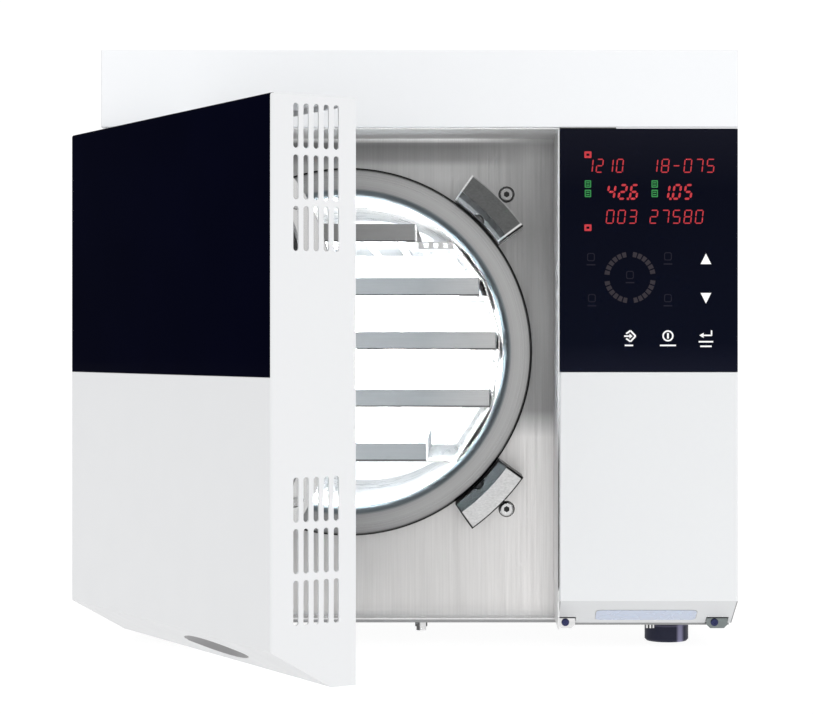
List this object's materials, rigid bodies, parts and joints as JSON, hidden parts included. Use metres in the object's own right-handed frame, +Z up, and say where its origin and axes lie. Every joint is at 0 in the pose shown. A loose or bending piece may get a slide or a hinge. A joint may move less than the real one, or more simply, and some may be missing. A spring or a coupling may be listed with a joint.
{
  "type": "bench steam autoclave",
  "caption": "Bench steam autoclave: white cabinet, brushed fascia, round chamber with perforated trays on a rack, black glass control panel, and a deep hinged door swung open.",
  "frame": {"origin": "middle of the cabinet's footprint, on the plane that the feet stand on", "axes": "+X to the right as the control panel is read, +Y towards the back, +Z up"},
  "size_m": [0.5281, 0.8552, 0.4835],
  "materials": {
    "cabinet_white": "satin",
    "zinc_sheet": "satin",
    "foot_rubber": "matte",
    "screw_steel": "polished",
    "fascia_steel": "brushed",
    "control_white": "satin",
    "black_glass": "polished",
    "board_green": "satin",
    "chamber_steel": "polished",
    "flange_steel": "turned",
    "jacket_foil": "foil faced",
    "claw_steel": "brushed",
    "tray_aluminium": "satin",
    "rack_steel": "satin",
    "tank_plastic": "satin",
    "boiler_steel": "satin",
    "pump_grey": "satin",
    "fin_aluminium": "bare",
    "valve_brass": "machined",
    "fan_black": "satin",
    "rocker_black": "gloss",
    "knob_red": "satin",
    "fitting_dark": "satin",
    "bracket_grey": "satin",
    "lid_white": "satin",
    "door_white": "satin",
    "disc_aluminium": "turned",
    "seal_silicone": "matte",
    "lock_steel": "ground",
    "motor_black": "satin"
  },
  "bodies": {
    "cabinet": {"base_pan": "zinc_sheet", "rubber_feet": "foot_rubber", "foot_screws": "screw_steel", "left_side_panel": "cabinet_white", "right_side_panel": "cabinet_white", "top_panel": "cabinet_white", "front_band": "cabinet_white", "rear_panel": "cabinet_white", "fascia_plate": "fascia_steel", "control_housing": "control_white", "control_glass": "black_glass", "display_board": "board_green", "chamber_vessel": "chamber_steel", "chamber_flange": "flange_steel", "insulation_jacket": "jacket_foil", "chamber_saddles": "zinc_sheet", "claw_blocks": "claw_steel", "claw_screws": "screw_steel", "hinge_brackets": "claw_steel", "hinge_pin": "screw_steel", "tray_1": "tray_aluminium", "tray_2": "tray_aluminium", "tray_3": "tray_aluminium", "tray_4": "tray_aluminium", "tray_5": "tray_aluminium", "tray_rack": "rack_steel", "tank_shelf": "zinc_sheet", "clean_water_tank": "tank_plastic", "used_water_tank": "tank_plastic", "steam_generator": "boiler_steel", "vacuum_pump": "pump_grey", "fan_frame": "fan_black", "condenser": "fin_aluminium", "valve_block": "valve_brass", "power_board": "board_green", "mains_inlet": "fan_black", "switch_bezel": "fan_black", "safety_valve_body": "valve_brass", "rear_drain_taps": "valve_brass", "drain_fittings": "fitting_dark", "corner_brackets": "bracket_grey", "lid_hinge": "lid_white"},
    "door": {"door_shell": "door_white", "door_glass": "black_glass", "door_carrier": "claw_steel", "hinge_leaf": "claw_steel", "pressure_disc": "disc_aluminium", "door_gasket": "seal_silicone", "lock_motor": "motor_black"},
    "cam": {"cam_plate": "lock_steel"},
    "bolt_1": {"lock_bolt_1": "lock_steel"},
    "bolt_2": {"lock_bolt_2": "lock_steel"},
    "bolt_3": {"lock_bolt_3": "lock_steel"},
    "bolt_4": {"lock_bolt_4": "lock_steel"},
    "pinion": {"motor_pinion": "valve_brass"},
    "lid": {"tank_lid": "lid_white"},
    "rocker": {"switch_rocker": "rocker_black"},
    "fan": {"fan_rotor": "fan_black"},
    "safety_knob": {"safety_valve_knob": "knob_red"}
  },
  "joints": [
    {"name": "door_swing", "type": "hinge", "parent": "cabinet", "child": "door", "pos_m": [-0.2357, -0.2376, 0.2378], "axis": [0, 0, -1], "range_deg": [-58.7, 50]},
    {"name": "cam_turn", "type": "hinge", "parent": "door", "child": "cam", "pos_m": [-0.14701, -0.39001, 0.2378], "axis": [-0.8545, -0.5195, 0], "range_deg": [-60, 0]},
    {"name": "bolt_1_slide", "type": "slide", "parent": "door", "child": "bolt_1", "axis": [0.3674, -0.6042, 0.7071], "range_m": [0, 0.012]},
    {"name": "bolt_2_slide", "type": "slide", "parent": "door", "child": "bolt_2", "axis": [-0.3674, 0.6042, 0.7071], "range_m": [0, 0.012]},
    {"name": "bolt_3_slide", "type": "slide", "parent": "door", "child": "bolt_3", "axis": [-0.3674, 0.6042, -0.7071], "range_m": [0, 0.012]},
    {"name": "bolt_4_slide", "type": "slide", "parent": "door", "child": "bolt_4", "axis": [0.3674, -0.6042, -0.7071], "range_m": [0, 0.012]},
    {"name": "pinion_spin", "type": "hinge", "parent": "door", "child": "pinion", "pos_m": [-0.14701, -0.39001, 0.3578], "axis": [-0.8545, -0.5195, 0], "range_deg": [0, 420]},
    {"name": "tank_lid_swing", "type": "hinge", "parent": "cabinet", "child": "lid", "pos_m": [-0.0594, 0.174, 0.4795], "axis": [-1, 0, 0], "range_deg": [0, 95]},
    {"name": "switch_rock", "type": "hinge", "parent": "cabinet", "child": "rocker", "pos_m": [0.13, 0.2755, 0.075], "axis": [1, 0, 0], "range_deg": [0, 18]},
    {"name": "fan_spin", "type": "hinge", "parent": "cabinet", "child": "fan", "pos_m": [0.15, 0.2655, 0.3], "axis": [0, 1, 0], "continuous": true},
    {"name": "safety_knob_pull", "type": "slide", "parent": "cabinet", "child": "safety_knob", "axis": [0, 1, 0], "range_m": [0, 0.0025], "stiffness_N_per_m": 1500}
  ],
  "couplings": [
    {"joint": "bolt_1_slide", "follows": "cam_turn", "m_per_rad": -0.011459},
    {"joint": "bolt_2_slide", "follows": "cam_turn", "m_per_rad": -0.011459},
    {"joint": "bolt_3_slide", "follows": "cam_turn", "m_per_rad": -0.011459},
    {"joint": "bolt_4_slide", "follows": "cam_turn", "m_per_rad": -0.011459},
    {"joint": "pinion_spin", "follows": "cam_turn", "ratio": -7}
  ]
}
